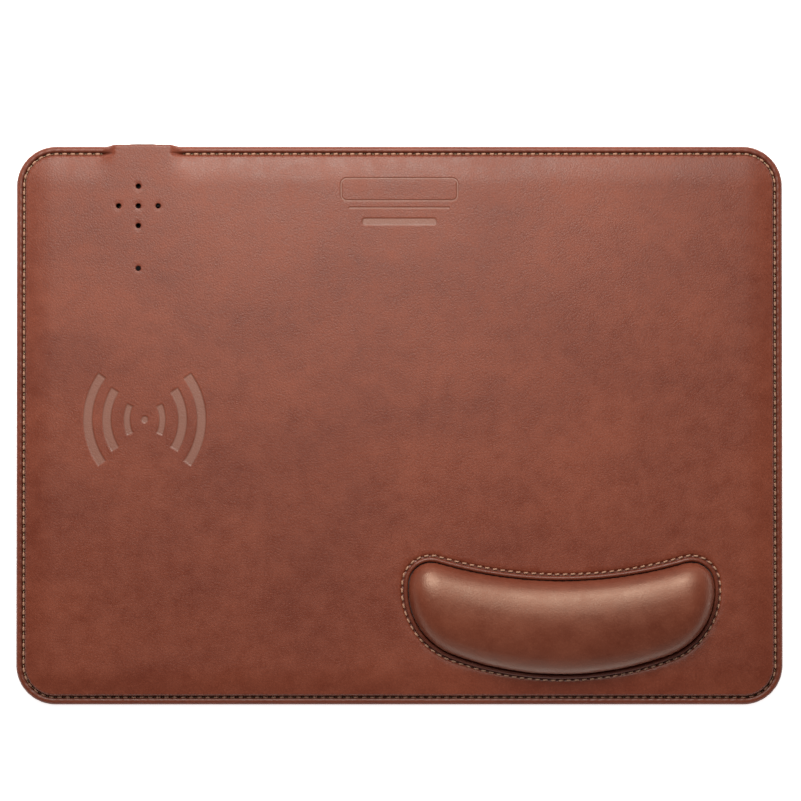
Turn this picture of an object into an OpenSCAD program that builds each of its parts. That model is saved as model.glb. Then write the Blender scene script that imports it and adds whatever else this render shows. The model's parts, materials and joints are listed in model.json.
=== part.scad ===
// Desk pad with a built-in wireless charger and a sewn-in padded wrist rest.
// Frame: origin at the centre of the pad's underside, +X right, +Y to the edge
// with the power port, +Z up. Millimetres.

/* [Pad] */
// overall width of the pad, left to right
pad_width = 350; // [340:5:400]
// overall depth of the pad, front to back
pad_depth = 255; // [250:5:300]
// radius of the pad's corners in plan
corner_radius = 18; // [17:1:24]
// width of the rolled leather rim outside the seam
rim_width = 3.4; // [3.2:0.1:3.6]
// distance over which the padding rises from the seam to the flat top
pillow_run = 10; // [8:1:11]
// distance between stitches around the edge
edge_stitch_pitch = 3.75; // [3.5:0.25:5]

/* [Layers] */
// non-slip sheet under the pad
base_thickness = 0.8; // [0.6:0.1:0.8]
// stiff board that keeps the pad flat
board_thickness = 1.6; // [1.6:0.1:2]
// soft foam between board and leather
foam_thickness = 3.6; // [3.6:0.1:4]
// top leather
leather_thickness = 0.8; // [0.6:0.1:0.9]
// depth of the pressed marks in the leather
deboss_depth = 0.3; // [0.1:0.05:0.4]

/* [Charging coil] */
// centre of the coil and its pressed mark, from the pad's left edge
coil_from_left = 59; // [55:1:70]
// centre of the coil and its pressed mark, forward of the pad's middle when negative
coil_offset_y = 2.7; // [-10:0.1:10]
// full turns of wire in the coil
coil_turns = 10; // [8:1:10]
// thickness of the coil's wire
coil_wire = 1.2; // [1:0.1:1.2]
// distance between neighbouring turns
coil_pitch = 1.36; // [1.34:0.01:1.4]
// radius of the innermost turn
coil_inner_radius = 10.5; // [10:0.5:11]

/* [Port and electronics] */
// centre of the power port, from the pad's left edge
port_from_left = 57.8; // [56:0.1:60]
// width of the full-height stretch of edge that carries the port
port_block_width = 30; // [30:1:34]
// how far the port's stretch of edge stands out behind the rim
port_block_reach = 0.6; // [0.4:0.1:0.8]
// length of the electronics housing, front to back
housing_length = 63.8; // [62:0.2:66]
// width of the electronics housing
housing_width = 28; // [27:0.5:28]
// diameter of the pinholes over the housing
pinhole_diameter = 2.2; // [2:0.1:2.6]
// distance between the pinholes of the cross
pinhole_spacing = 9; // [8:0.5:9]

/* [Wrist rest] */
// middle of the wrist rest, from the pad's right edge
wrist_from_right = 101.4; // [95:1:110]
// gap between the wrist rest's front and the pad's front edge
wrist_from_front = 14.4; // [14.2:0.2:20]
// front-to-back size of the cushion at its waist
wrist_waist = 42.3; // [40:0.5:46]
// radius of the hollow curve at the back of the cushion
wrist_back_radius = 200; // [180:5:240]
// radius of the bowed curve at the front of the cushion
wrist_front_radius = 140; // [130:5:150]
// radius of the two lobes at the back corners
lobe_radius = 10; // [10:0.5:12]
// radius of the sides, between lobe and front curve
side_radius = 31; // [28:1:34]
// distance of each lobe's centre from the middle of the cushion
lobe_spread = 59.3; // [56:0.5:64]
// height of the cushion above the pad's flat top
wrist_rise = 12.2; // [8:0.1:16]
// diameter of the leather bead around the cushion
bead_diameter = 2; // [1.8:0.1:2.2]
// distance between stitches around the cushion
wrist_stitch_pitch = 3.56; // [3.25:0.01:5]

/* [Hidden] */

// reach of a cut past the face it opens
past = 1;
fine = 96;

// layer heights
board_top = base_thickness + board_thickness;
foam_top = board_top + foam_thickness;
pad_top = foam_top + leather_thickness;
leather_bottom = base_thickness / 2;

// rim section, as distance in from the edge and height
hem_reach = 1.85;
board_inset = 1;
roll_half = rim_width / 2 + 0.05;
roll_middle = 2;
roll_height = roll_middle - leather_bottom;
groove_half = 0.45;
groove_z = 2.95;
flat_inset = rim_width + groove_half + pillow_run;
pillow_rise = pad_top - groove_z;
pillow_steps = 8;
roll_steps = 12;
// angle on the roll where it meets the seam groove
roll_start = asin((groove_z - roll_middle) / roll_height);

// height of the padding's outer surface, t from 0 at the seam to 1 at the flat top
function pillow_height(t) = groove_z + pillow_rise * sin(90 * t);
function pillow_slope(t) = pillow_rise / pillow_run * PI / 2 * cos(90 * t);
function pillow_outer(t) = [flat_inset - pillow_run * (1 - t), pillow_height(t)];
function pillow_inner(t) =
    let (m = pillow_slope(t), k = leather_thickness / sqrt(1 + m * m), p = pillow_outer(t))
    [p[0] + m * k, max(board_top + 0.01 * t, p[1] - k)];

outer_pillow = [for (i = [0:pillow_steps]) pillow_outer(i / pillow_steps)];
inner_pillow = [for (i = [0:pillow_steps]) pillow_inner(i / pillow_steps)];
roll = [for (i = [0:roll_steps])
    let (a = roll_start + i * (270 - roll_start) / roll_steps)
    [roll_half + roll_half * cos(a), roll_middle + roll_height * sin(a)]];

// seam line around the pad, as a path of straight runs and corner arcs.
// A path entry is [length, x, y, radius, start angle, sweep], with radius 0 for a
// straight run that starts at x, y.
seam_x = pad_width / 2 - rim_width;
seam_y = pad_depth / 2 - rim_width;
seam_r = corner_radius - rim_width;
run_x = pad_width - 2 * corner_radius;
run_y = pad_depth - 2 * corner_radius;
corner_length = seam_r * PI / 2;
edge_path = [
    [run_x, run_x / 2, seam_y, 0, 180, 0],
    [corner_length, -run_x / 2, run_y / 2, seam_r, 90, 90],
    [run_y, -seam_x, run_y / 2, 0, 270, 0],
    [corner_length, -run_x / 2, -run_y / 2, seam_r, 180, 90],
    [run_x, -run_x / 2, -seam_y, 0, 0, 0],
    [corner_length, run_x / 2, -run_y / 2, seam_r, 270, 90],
    [run_y, seam_x, -run_y / 2, 0, 90, 0],
    [corner_length, run_x / 2, run_y / 2, seam_r, 0, 90]];

function path_length(path, i = 0) = i < len(path) ? path[i][0] + path_length(path, i + 1) : 0;
function step_pose(g, s) = g[3] == 0
    ? [g[1] + s * cos(g[4]), g[2] + s * sin(g[4]), g[4]]
    : let (a = g[4] + g[5] * s / g[0])
        [g[1] + g[3] * cos(a), g[2] + g[3] * sin(a), a + 90 * sign(g[5])];
function path_pose(path, s, i = 0) = s <= path[i][0] || i == len(path) - 1
    ? step_pose(path[i], s)
    : path_pose(path, s - path[i][0], i + 1);

// wrist rest outline: seven arcs that meet on common tangents
wrist_x = pad_width / 2 - wrist_from_right;
wrist_y = -pad_depth / 2 + wrist_from_front;
back_centre = [0, wrist_waist + wrist_back_radius];
front_centre = [0, wrist_front_radius];
lobe_centre = [lobe_spread,
    back_centre[1] - sqrt(pow(wrist_back_radius + lobe_radius, 2) - pow(lobe_spread, 2))];
// the side's circle touches the lobe's circle and the front curve's circle from inside
lobe_to_front = front_centre - lobe_centre;
side_to_lobe = side_radius - lobe_radius;
side_to_front = wrist_front_radius - side_radius;
side_turn = acos((pow(side_to_lobe, 2) + pow(norm(lobe_to_front), 2) - pow(side_to_front, 2))
    / (2 * side_to_lobe * norm(lobe_to_front)));
side_heading = atan2(lobe_to_front[1], lobe_to_front[0]) + side_turn;
side_centre = lobe_centre + side_to_lobe * [cos(side_heading), sin(side_heading)];
back_angle = atan2(lobe_centre[1] - back_centre[1], lobe_centre[0]);
side_angle = side_heading - 180;
front_angle = atan2(side_centre[1] - front_centre[1], side_centre[0]);
lobe_sweep = back_angle + 180 - side_angle;
side_sweep = side_angle - front_angle;
// each arc is [x, y, radius, start angle, sweep], anticlockwise round the cushion;
// the hollow back curve has a negative sweep
wrist_arcs = [
    [0, front_centre[1], wrist_front_radius, -180 - front_angle, 2 * (front_angle + 90)],
    [side_centre[0], side_centre[1], side_radius, front_angle, side_sweep],
    [lobe_centre[0], lobe_centre[1], lobe_radius, side_angle, lobe_sweep],
    [0, back_centre[1], wrist_back_radius, back_angle, -2 * (back_angle + 90)],
    [-lobe_centre[0], lobe_centre[1], lobe_radius, -back_angle, lobe_sweep],
    [-side_centre[0], side_centre[1], side_radius, 180 - side_angle, side_sweep]];

// the same outline moved out by e, as a path for stitches and as a loop of points
function arc_radius(g, e) = g[2] + e * sign(g[4]);
function wrist_path(e) = [for (g = wrist_arcs)
    let (r = arc_radius(g, e)) [r * abs(g[4]) * PI / 180, g[0], g[1], r, g[3], g[4]]];
arc_steps = 9;
function wrist_loop(e) = [for (g = wrist_arcs) for (i = [0:arc_steps - 1])
    let (r = arc_radius(g, e), a = g[3] + g[4] * i / arc_steps)
    [g[0] + r * cos(a), g[1] + r * sin(a)]];

// line along the middle of the cushion, which its crown rises to
spine_radius = (wrist_back_radius + wrist_front_radius) / 2;
spine_centre = [0, wrist_waist / 2 + spine_radius];
spine_reach = asin((lobe_spread - 4) / spine_radius);
function spine_point(p) =
    let (d = p - spine_centre, a = atan2(d[1], d[0]), b = max(-90 - spine_reach, min(-90 + spine_reach, a)))
    spine_centre + spine_radius * [cos(b), sin(b)];

// seam channel around the wrist rest
channel_z = pad_top - 0.5;
channel_width = 3.6;
flange = 0.4;
bead_r = bead_diameter / 2;
bead_centre = [flange / 2 + bead_r, channel_z + bead_r];
bead_wall = 0.4;
bead_sides = 12;
dome_steps = 8;
fullness = 2.4;
wrist_stitch_out = 2.95;

// port and housing
port_x = -pad_width / 2 + port_from_left;
port_face = pad_depth / 2 + port_block_reach;
port_z = 3.3;
ramp_run = 3;
ramp_foot = 2;
housing_back = port_face - leather_thickness;
housing_front = housing_back - housing_length;
housing_mid = (housing_back + housing_front) / 2;
housing_gap = 0.15;
housing_wall = 1.2;
housing_floor = 0.8;
lid_thickness = 0.8;
housing_radius = 2;
floor_top = base_thickness + housing_floor;
lid_bottom = foam_top - lid_thickness;
boss_diameter = 4.4;
boss_inset = 3.2;
screw_shank = 1.2;
screw_head = 2.8;
boss_places = [for (x = [-1, 1]) for (y = [-1, 1])
    [port_x + x * (housing_width / 2 - boss_inset), housing_mid + y * (housing_length / 2 - boss_inset)]];

// printed board and what stands on it
pcb_bottom = floor_top + 0.7;
pcb_thickness = 0.8;
pcb_top = pcb_bottom + pcb_thickness;
pcb_width = 23;
pcb_front = housing_front + 2.4;
pcb_back = housing_back - 1.8;
usb_width = 8.94;
usb_height = 3.26;
usb_depth = 7.2;
usb_wall = 0.3;
usb_notch = 9.6;
led_place = [-pad_width / 2 + 56, pad_depth / 2 - 56];
cross_place = [-pad_width / 2 + 56, pad_depth / 2 - 27.5];
cross_offsets = [[0, 0], [1, 0], [-1, 0], [0, 1], [0, -1]];
pinholes = concat([led_place], [for (c = cross_offsets) cross_place + pinhole_spacing * c]);

// coil stack, from the board up
coil_x = -pad_width / 2 + coil_from_left;
coil_y = coil_offset_y;
coil_outer_radius = coil_inner_radius + coil_turns * coil_pitch + coil_wire / 2;
pocket_radius = coil_outer_radius + 3.5;
ferrite_radius = coil_outer_radius + 1.4;
ferrite_bottom = board_top + 0.7;
ferrite_thickness = 1;
coil_bottom = ferrite_bottom + ferrite_thickness + 0.1;
film_bottom = coil_bottom + coil_wire;
film_thickness = 0.2;
slot_width = 4.6;
lead_d = 0.96;
lead_z = ferrite_bottom + ferrite_thickness / 2;
lead_end = pcb_front + 4;
channel_y = coil_y + pocket_radius - 2;
lead_channel = [coil_x - 3.2, coil_x + 3.2];
coil_outer_end = coil_inner_radius + coil_turns * coil_pitch;
// each lead is [x from the coil's centre, start, end], and its joint is where it ends
leads = [[-0.75, coil_y + coil_inner_radius, lead_end], [0.55, coil_y + coil_outer_end, lead_end + 3]];
joint_diameter = 1.5;
sensor_x = coil_x + 1.68;
sensor_diameter = 1.15;
sensor_wire = 0.3;

leather_colour = [0.45, 0.22, 0.17];
bead_colour = [0.42, 0.23, 0.19];
thread_colour = [0.80, 0.62, 0.53];
foam_colour = [0.30, 0.30, 0.32];
black = [0.08, 0.08, 0.09];
steel = [0.75, 0.76, 0.78];
copper = [0.78, 0.42, 0.22];

// ---- shared shapes ----

// flat slab with rounded corners, its underside at z = 0
module rounded_slab(width, depth, radius, height) {
    cx = width / 2 - radius;
    cy = depth / 2 - radius;
    translate([-cx, -depth / 2, 0]) cube([2 * cx, depth, height]);
    translate([-width / 2, -cy, 0]) cube([width, 2 * cy, height]);
    for (x = [-cx, cx])
        for (y = [-cy, cy])
            translate([x, y, 0]) cylinder(h = height, r = radius, $fn = fine);
}

// slab that follows the pad's outline, inset from its edge
module pad_slab(inset, z, height) {
    translate([0, 0, z])
        rounded_slab(pad_width - 2 * inset, pad_depth - 2 * inset, corner_radius - inset, height);
}

// rim section carried round the pad's four sides and corners
module rim_sweep(section) {
    for (side = [0:3]) {
        half = side % 2 == 0 ? pad_width / 2 : pad_depth / 2;
        run = side % 2 == 0 ? run_y : run_x;
        rotate([0, 0, 90 * side]) {
            rotate([90, 0, 0])
                translate([0, 0, -run / 2])
                    linear_extrude(run)
                        polygon([for (p = section) [half - p[0], p[1]]]);
            translate([half - corner_radius, run / 2, 0])
                rotate_extrude(angle = 90, $fn = fine)
                    polygon([for (p = section) [corner_radius - p[0], p[1]]]);
        }
    }
}

// solid that fills the wrist outline moved out by e, between two heights
module wrist_fill(e, z0, z1) {
    translate([wrist_x, wrist_y, z0])
        linear_extrude(z1 - z0) polygon(wrist_loop(e));
}

// closed surface through rings of points. A stack of rings is capped at both ends;
// a looped one joins its last ring to its first.
module ring_body(rings, looped) {
    n = len(rings[0]);
    count = len(rings);
    caps = looped ? [] : [[for (i = [0:n - 1]) i], [for (i = [n - 1:-1:0]) (count - 1) * n + i]];
    sides = [for (k = [0:count - (looped ? 1 : 2)]) for (i = [0:n - 1])
        let (a = k * n, b = (k + 1) % count * n, j = (i + 1) % n)
        for (face = [[a + i, b + j, a + j], [a + i, b + i, b + j]]) face];
    translate([wrist_x, wrist_y, 0])
        polyhedron(points = [for (ring = rings) for (p = ring) p], faces = concat(sides, caps));
}

function ring_at(loop, z) = [for (p = loop) [p[0], p[1], z]];

// crowned cushion, inset from the outline
module cushion(inset, bottom) {
    edge = wrist_loop(-inset);
    rise = wrist_rise - inset;
    last = 0.88;
    // each dome ring is a share f of the way from the edge to the spine
    dome = [for (i = [1:dome_steps])
        let (f = last * pow(i / dome_steps, 1.8), z = pad_top + rise * pow(1 - pow(1 - f, fullness), 1 / fullness))
        [for (p = edge) let (q = p + f * (spine_point(p) - p)) [q[0], q[1], z]]];
    ring_body(concat([ring_at(edge, bottom), ring_at(edge, pad_top)], dome), false);
}

// section in (distance out from the outline, height), carried round the wrist rest
module wrist_sweep(section) {
    ring_body([for (p = section) ring_at(wrist_loop(p[0]), p[1])], true);
}

// lens-shaped run of thread along a path, with its underside at z
module stitch(pose, z, length, width, height, slant) {
    translate([pose[0], pose[1], z])
        rotate([0, 0, pose[2] + slant])
            linear_extrude(height)
                polygon([[-length / 2, 0], [-length / 3, -width / 2], [length / 3, -width / 2],
                    [length / 2, 0], [length / 3, width / 2], [-length / 3, width / 2]]);
}

// straight stretch of edge that carries the port; inset 0 is its outside
module port_block(inset, bottom) {
    top = pad_top - inset;
    slant = inset * norm([ramp_run, pad_top - ramp_foot]) / (pad_top - ramp_foot);
    half_top = port_block_width / 2 + ramp_run * inset / (pad_top - ramp_foot) - slant;
    half_foot = port_block_width / 2 + ramp_run - slant;
    depth = flat_inset + 2 + port_block_reach;
    // the outside has rounded edges, and the housing fills the inside's square corners
    nose = 1.4;
    back = inset > 0
        ? [[-inset, top], [-inset, bottom]]
        : [[-nose, top], [-nose / 3, top - nose / 3], [0, top - nose], [0, bottom + nose],
            [-nose / 3, bottom + nose / 3], [-nose, bottom]];
    intersection() {
        translate([port_x - half_foot - past, port_face, 0])
            rotate([90, 0, 90])
                linear_extrude(2 * (half_foot + past))
                    polygon(concat([[-depth, bottom], [-depth, top]], back));
        translate([port_x, port_face + past, 0])
            rotate([90, 0, 0])
                linear_extrude(depth + 2 * past)
                    polygon([[-half_foot, bottom - past], [half_foot, bottom - past],
                        [half_foot, ramp_foot], [half_top, top], [-half_top, top],
                        [-half_foot, ramp_foot]]);
    }
}

// bent band pressed into the leather on one side of the dot; middle is its distance
// from the dot, and reach how far it goes up and down
module pressed_arc(middle, width, reach, side) {
    shift = 8;
    radius = middle + shift;
    half_span = asin(reach / radius);
    translate([-side * shift, 0, 0])
        rotate([0, 0, (side > 0 ? 0 : 180) - half_span])
            rotate_extrude(angle = 2 * half_span, $fn = fine)
                translate([radius - width / 2, 0]) square([width, deboss_depth + past]);
}

// generic charging mark: a dot with three arcs on each side
module charging_mark() {
    translate([coil_x, coil_y, pad_top - deboss_depth]) {
        cylinder(h = deboss_depth + past, d = 3.2, $fn = fine);
        for (side = [1, -1]) {
            pressed_arc(8.1, 2.9, 6.6, side);
            pressed_arc(17.3, 4, 13.5, side);
            pressed_arc(25.9, 4.1, 20, side);
        }
    }
}

// rounded bar pressed into the leather, y from the label's middle
module pressed_bar(y, width, depth, radius) {
    translate([0, y, 0]) rounded_slab(width, depth, radius, deboss_depth + past);
}

// blank label: an empty rounded frame with a thin line and a short bar below it
module blank_label() {
    frame_y = 6;
    frame_width = 54;
    frame_depth = 11;
    line = 0.9;
    translate([0, pad_depth / 2 - 26, pad_top - deboss_depth]) {
        difference() {
            pressed_bar(frame_y, frame_width, frame_depth, 3);
            translate([0, 0, -past])
                pressed_bar(frame_y, frame_width - 2 * line, frame_depth - 2 * line, 3 - line);
            translate([0, frame_y, deboss_depth])
                rounded_slab(frame_width - 2 * line, frame_depth - 2 * line, 3 - line, 2 * past);
        }
        pressed_bar(-2.4, 46, line, 0.4);
        pressed_bar(-8.6, 34, 3.2, 1.4);
    }
}

// opening that the electronics housing stands in
module housing_notch(z0, z1) {
    width = housing_width + 2 * housing_gap;
    translate([port_x - width / 2, housing_front - housing_gap, z0])
        cube([width, housing_length + 10, z1 - z0]);
}

// rounded bar along Y with its back end at y_back, centred on the port
module port_bar(width, height, y_back, length) {
    translate([port_x, y_back, port_z])
        rotate([90, 0, 0])
            rounded_slab(width, height, 0.45 * height, length);
}

// block that the port's bezel fills in the housing's back wall
module port_shank(length, extra) {
    shank_width = 10;
    bottom = port_z - 2;
    translate([port_x - shank_width / 2, housing_back - length, bottom])
        cube([shank_width, length, lid_bottom - bottom + extra]);
}

// block standing on the printed board, centred at x, y from the housing's middle
module chip(x, y, width, depth, height) {
    translate([port_x + x - width / 2, housing_mid + y - depth / 2, pcb_top])
        cube([width, depth, height]);
}

// ---- pad layers ----

module base_sheet() {
    color(black) pad_slab(hem_reach, 0, base_thickness);
}

module stiffener_board() {
    color([0.62, 0.52, 0.38])
        difference() {
            pad_slab(board_inset, base_thickness, board_thickness);
            housing_notch(base_thickness - past, board_top + past);
        }
}

module foam_core() {
    section = concat(inner_pillow, [[flat_inset, foam_top], [flat_inset, board_top]]);
    color(foam_colour)
        difference() {
            union() {
                rim_sweep(section);
                pad_slab(flat_inset, board_top, foam_thickness);
            }
            housing_notch(board_top - past, foam_top + past);
            wrist_fill(-leather_thickness, board_top - past, foam_top + past);
            translate([coil_x, coil_y, board_top - past])
                cylinder(h = foam_thickness + 2 * past, r = pocket_radius, $fn = fine);
            translate([lead_channel[0], channel_y, board_top - past])
                cube([lead_channel[1] - lead_channel[0], housing_front - channel_y,
                    foam_thickness + 2 * past]);
        }
}

module top_leather() {
    outside = concat([[flat_inset, leather_bottom], [flat_inset, pad_top]],
        [for (i = [pillow_steps - 1:-1:0]) outer_pillow[i]], roll);
    inside = concat([[flat_inset, -past], [flat_inset, foam_top]],
        [for (i = [pillow_steps - 1:-1:0]) inner_pillow[i]],
        [[board_inset, board_top], [board_inset, base_thickness], [hem_reach, base_thickness],
            [hem_reach, -past]]);
    color(leather_colour)
        difference() {
            union() {
                rim_sweep(outside);
                pad_slab(flat_inset, leather_bottom, pad_top - leather_bottom);
                port_block(0, leather_bottom);
            }
            union() {
                rim_sweep(inside);
                pad_slab(flat_inset, -past, foam_top + past);
                port_block(leather_thickness, -past);
            }
            wrist_fill(flange, 0, channel_z + past);
            wrist_fill(channel_width, channel_z, pad_top + past);
            for (p = pinholes)
                translate([p[0], p[1], foam_top - past])
                    cylinder(h = leather_thickness + 2 * past, d = pinhole_diameter, $fn = 32);
            port_bar(12, 4.8, port_face + past, 4);
            charging_mark();
            blank_label();
        }
}

module perimeter_stitching() {
    total = path_length(edge_path);
    count = floor(total / edge_stitch_pitch);
    pitch = total / count;
    keep_clear = port_block_width / 2 + ramp_run + 0.3;
    color(thread_colour)
        for (i = [0:count - 1]) {
            pose = path_pose(edge_path, (i + 0.5) * pitch);
            if (pose[1] < seam_y - 0.01 || abs(pose[0] - port_x) > keep_clear)
                stitch(pose, groove_z, 0.78 * pitch, 0.7, 0.5, 3);
        }
}

// ---- wrist rest ----

module wrist_foam() {
    color([0.78, 0.76, 0.70]) cushion(leather_thickness, board_top);
}

module wrist_cover() {
    color(leather_colour)
        difference() {
            cushion(0, foam_top);
            cushion(leather_thickness, board_top);
        }
}

// points round the bead, from one angle to another
function bead_arc(radius, from, to) = [for (i = [0:bead_sides - 1])
    let (a = from + (to - from) * i / (bead_sides - 1)) bead_centre + radius * [cos(a), sin(a)]];
bead_core = bead_arc(bead_r - bead_wall, 0, 360 * (bead_sides - 1) / bead_sides);

module wrist_piping() {
    // the bead's leather runs down into the seam as a flange
    flange_turn = acos((bead_centre[0] - flange) / bead_r);
    section = concat([[0, foam_top], [flange, foam_top]], bead_arc(bead_r, -180 + flange_turn, 180),
        [[0, bead_centre[1]]]);
    color(bead_colour)
        difference() {
            wrist_sweep(section);
            wrist_sweep(bead_core);
        }
}

module wrist_piping_cord() {
    color([0.86, 0.84, 0.78]) wrist_sweep(bead_core);
}

module wrist_stitching() {
    path = wrist_path(wrist_stitch_out);
    total = path_length(path);
    count = round(total / wrist_stitch_pitch);
    color(thread_colour)
        for (i = [0:count - 1]) {
            pose = path_pose(path, (i + 0.5) * total / count);
            stitch([wrist_x + pose[0], wrist_y + pose[1], pose[2]], channel_z, 2.6, 0.6, 0.45, 8);
        }
}

// ---- electronics housing ----

module housing_base() {
    inner = [housing_width - 2 * housing_wall, housing_length - 2 * housing_wall];
    color(black)
        difference() {
            union() {
                difference() {
                    translate([port_x, housing_mid, base_thickness])
                        rounded_slab(housing_width, housing_length, housing_radius,
                            lid_bottom - base_thickness);
                    translate([port_x, housing_mid, floor_top])
                        rounded_slab(inner[0], inner[1], 0.8, lid_bottom);
                }
                for (p = boss_places) {
                    translate([p[0], p[1], floor_top])
                        cylinder(h = lid_bottom - floor_top, d = boss_diameter, $fn = 48);
                    support_y = p[1] + 5 * sign(housing_mid - p[1]);
                    translate([p[0], support_y, floor_top])
                        cylinder(h = pcb_bottom - floor_top, d = 3, $fn = 48);
                }
            }
            for (p = boss_places)
                translate([p[0], p[1], floor_top + 0.6])
                    cylinder(h = lid_bottom, d = screw_shank, $fn = 32);
            translate([0, past, 0]) port_shank(housing_wall + 2 * past, past);
            translate([lead_channel[0], housing_front - past, ferrite_bottom - 0.2])
                cube([lead_channel[1] - lead_channel[0], housing_wall + 2 * past, lid_bottom]);
        }
}

module housing_cover() {
    color(black)
        difference() {
            translate([port_x, housing_mid, lid_bottom])
                rounded_slab(housing_width, housing_length, housing_radius, lid_thickness);
            for (p = pinholes)
                translate([p[0], p[1], lid_bottom - past])
                    cylinder(h = lid_thickness + 2 * past, d = pinhole_diameter, $fn = 32);
            for (p = boss_places)
                translate([p[0], p[1], lid_bottom]) {
                    translate([0, 0, -past]) cylinder(h = 3 * past, d = screw_shank + 0.2, $fn = 32);
                    cylinder(h = lid_thickness, d1 = screw_shank + 0.2, d2 = screw_head + 0.1, $fn = 48);
                }
        }
}

module housing_screws() {
    color(steel)
        for (p = boss_places)
            translate([p[0], p[1], 0])
                difference() {
                    union() {
                        translate([0, 0, floor_top + 0.8])
                            cylinder(h = foam_top - floor_top - 1.2, d = screw_shank, $fn = 32);
                        translate([0, 0, lid_bottom + 0.1])
                            cylinder(h = lid_thickness - 0.1, d1 = screw_shank, d2 = screw_head, $fn = 48);
                    }
                    for (turn = [0, 90])
                        translate([0, 0, foam_top])
                            rotate([0, 0, turn]) cube([1.6, 0.4, 0.6], center = true);
                }
}

module port_bezel() {
    color(black)
        difference() {
            union() {
                port_bar(12, 4.8, port_face + 0.2, leather_thickness + 0.2);
                port_shank(housing_wall, 0);
            }
            port_bar(usb_width + 0.04, usb_height + 0.04, port_face + past, 5);
        }
}

module usb_shell() {
    color(steel)
        difference() {
            port_bar(usb_width, usb_height, port_face, usb_depth);
            port_bar(usb_width - 2 * usb_wall, usb_height - 2 * usb_wall, port_face + past,
                usb_depth + past - 0.5);
        }
}

tongue_width = 6.7;
tongue_height = 0.7;
tongue_back = port_face - usb_depth + 0.5;

module usb_tongue() {
    color(black) {
        translate([port_x - tongue_width / 2, tongue_back + 1, port_z - tongue_height / 2])
            cube([tongue_width, usb_depth - 2.5, tongue_height]);
        port_bar(usb_width - 2 * usb_wall, usb_height - 2 * usb_wall, tongue_back + 1, 1);
    }
}

module usb_contacts() {
    contact = [0.25, 3.4, 0.08];
    color([0.86, 0.68, 0.30])
        for (i = [-5.5:5.5])
            for (face = [-1, 1])
                translate([port_x + 0.5 * i - contact[0] / 2, tongue_back + 1.6,
                    port_z + face * (tongue_height / 2 + contact[2] / 2) - contact[2] / 2])
                    cube(contact);
}

// ---- printed board ----

module main_pcb() {
    color([0.10, 0.12, 0.11])
        difference() {
            translate([port_x - pcb_width / 2, pcb_front, pcb_bottom])
                cube([pcb_width, pcb_back - pcb_front, pcb_thickness]);
            translate([port_x - usb_notch / 2, port_face - usb_depth - 0.4, pcb_bottom - past])
                cube([usb_notch, usb_depth, pcb_thickness + 2 * past]);
            for (p = boss_places)
                translate([p[0], p[1], pcb_bottom - past])
                    cylinder(h = pcb_thickness + 2 * past, d = boss_diameter + 0.8, $fn = 48);
        }
}

module controller_chip() {
    color(black) chip(-5, 4, 7, 7, 0.9);
}

module power_transistors() {
    color(black)
        for (x = [1.5, 7.5])
            for (y = [-14, -6])
                chip(x, y, 5, 6, 1);
}

module power_inductor() {
    color([0.20, 0.20, 0.22])
        difference() {
            chip(6, 9, 9, 9, 1.8);
            translate([port_x + 6, housing_mid + 9, pcb_top + 1.6])
                cylinder(h = past, d = 6.4, $fn = 48);
        }
}

module resonant_capacitors() {
    color([0.72, 0.60, 0.44])
        for (i = [0:3])
            chip(-9 + 3.2 * i, -18.6, 2.2, 3.2, 1.6);
}

module passive_chips() {
    color([0.55, 0.45, 0.36])
        for (i = [0:5])
            for (x = [-10.3, -9.1])
                chip(x, -6 + 3.4 * i, 0.8, 1.6, 0.6);
}

module status_led() {
    color([0.92, 0.92, 0.86])
        translate([led_place[0] - 0.8, led_place[1] - 1.6, pcb_top]) cube([1.6, 3.2, 0.8]);
}

module light_pipe() {
    pipe_bottom = pcb_top + 0.95;
    color([0.14, 0.14, 0.15])
        translate([led_place[0], led_place[1], pipe_bottom]) {
            cylinder(h = pad_top - 0.4 - pipe_bottom, d = pinhole_diameter - 0.2, $fn = 48);
            cylinder(h = lid_bottom - pipe_bottom, d = 3.4, $fn = 48);
        }
}

// ---- charging coil ----

module coil_disc(radius, z, height) {
    translate([coil_x, coil_y, z]) cylinder(h = height, r = radius, $fn = fine);
}

// slot that lets the inner lead and the sensor's wires out under the coil
module lead_slot() {
    translate([coil_x - slot_width / 2, coil_y, board_top - past])
        cube([slot_width, pocket_radius, coil_bottom - board_top + past]);
}

module coil_pad() {
    color([0.16, 0.16, 0.17])
        difference() {
            coil_disc(ferrite_radius, board_top, ferrite_bottom - board_top);
            lead_slot();
        }
}

module ferrite_sheet() {
    color([0.22, 0.22, 0.24])
        difference() {
            coil_disc(ferrite_radius, ferrite_bottom, ferrite_thickness);
            lead_slot();
        }
}

module coil_adhesive() {
    color([0.85, 0.80, 0.62])
        difference() {
            coil_disc(ferrite_radius - 1, ferrite_bottom + ferrite_thickness, 0.1);
            lead_slot();
        }
}

// flat spiral of half rings whose centres alternate, so that each joins the next.
// Both ends of the wire lie over the lead slot.
module transmit_coil() {
    color(copper)
        translate([coil_x, coil_y, coil_bottom + coil_wire / 2])
            rotate([0, 0, 90])
                for (turn = [0:coil_turns - 1]) {
                    radius = coil_inner_radius + turn * coil_pitch;
                    half_ring(radius);
                    translate([coil_pitch / 2, 0, 0])
                        rotate([0, 0, 180]) half_ring(radius + coil_pitch / 2);
                }
}

module half_ring(radius) {
    rotate_extrude(angle = 180, $fn = fine)
        translate([radius, 0]) circle(d = coil_wire, $fn = 8);
}

module coil_film() {
    color([0.80, 0.74, 0.55]) coil_disc(ferrite_radius, film_bottom, film_thickness);
}

// round wire from one point straight along +Y
module wire(x, y0, y1, diameter) {
    translate([x, y0, lead_z])
        rotate([-90, 0, 0]) cylinder(h = y1 - y0, d = diameter, $fn = 32);
}

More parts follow.
